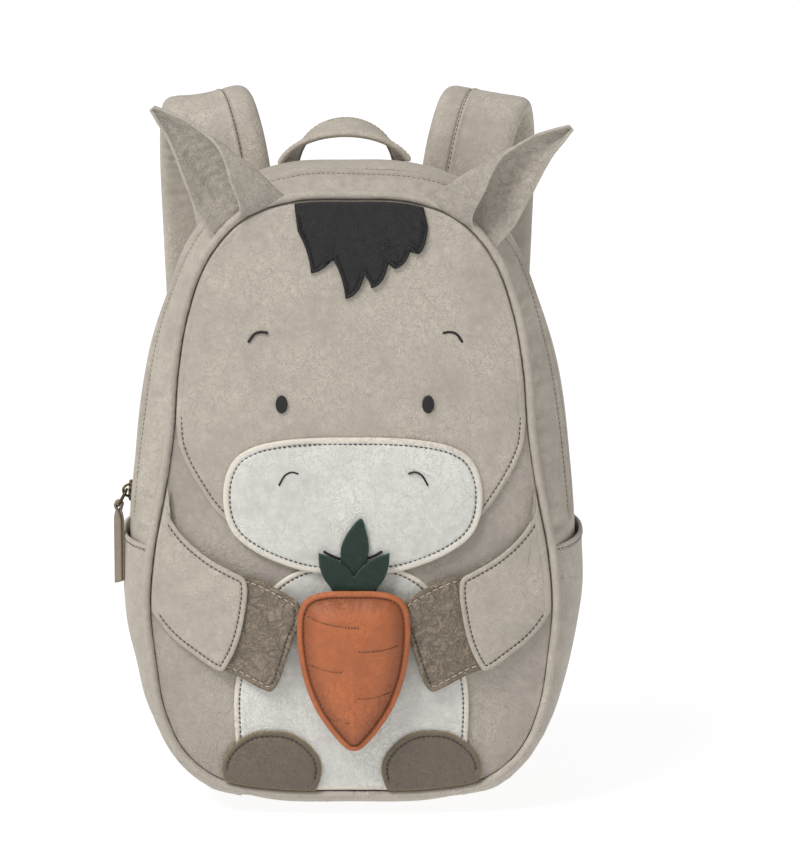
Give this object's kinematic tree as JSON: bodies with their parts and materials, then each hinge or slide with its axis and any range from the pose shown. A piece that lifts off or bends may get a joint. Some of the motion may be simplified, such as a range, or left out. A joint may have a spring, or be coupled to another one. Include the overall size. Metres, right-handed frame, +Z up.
{
  "type": "kids animal backpack",
  "caption": "Egg-shaped leather-look child's backpack with a donkey's face, folded ears, hugging arms, a stuffed carrot, arched zip, grab handle and padded straps.",
  "frame": {"origin": "centre of the flat base on the ground", "axes": "+Z up, the face looks along -Y, +X to the right of someone who looks at the face"},
  "size_m": [0.2379, 0.1881, 0.3642],
  "materials": {
    "body_leather": "taupe coated leather, matte, finely creased",
    "trim_leather": "pale taupe coated leather, matte, finely creased",
    "white_leather": "off-white coated leather with cream cut edges",
    "hoof_leather": "dark taupe coated leather, wrinkled",
    "carrot_leather": "orange coated leather, stuffed",
    "leaf_leather": "dark green coated leather",
    "forelock_leather": "near-black grained leather",
    "embroidery": "dark satin-stitch thread",
    "zip_tape": "woven zip tape with a nylon coil",
    "webbing": "woven webbing",
    "adjuster_plastic": "moulded, satin",
    "antique_brass": "dark antique, worn bright on its edges"
  },
  "bodies": {
    "root": {"front_panel": "body_leather", "back_panel": "trim_leather", "piping_front": "trim_leather", "gusset_front": "trim_leather", "zip_tape": "zip_tape", "gusset_back": "trim_leather", "gusset_base": "trim_leather", "side_pocket_left": "trim_leather", "side_pocket_right": "trim_leather", "head_panel": "body_leather", "belly_patch": "white_leather", "muzzle": "white_leather", "foot_left": "hoof_leather", "foot_right": "hoof_leather", "forelock": "forelock_leather", "eye_left": "embroidery", "eye_right": "embroidery", "brow_left": "embroidery", "brow_right": "embroidery", "nostril_left": "embroidery", "nostril_right": "embroidery", "smile": "embroidery", "arm_left": "trim_leather", "arm_right": "trim_leather", "hoof_left": "hoof_leather", "hoof_right": "hoof_leather", "carrot": "carrot_leather", "leaf_middle": "leaf_leather", "leaf_sides": "leaf_leather", "ear_left": "trim_leather", "ear_right": "trim_leather", "grab_handle": "trim_leather", "shoulder_strap_left": "trim_leather", "shoulder_strap_right": "trim_leather", "adjuster_left": "adjuster_plastic", "adjuster_right": "adjuster_plastic", "webbing_left": "webbing", "webbing_right": "webbing", "strap_tab_left": "trim_leather", "strap_tab_right": "trim_leather", "zip_slider": "antique_brass", "zip_loop": "antique_brass", "zip_pull": "trim_leather"}
  },
  "joints": []
}
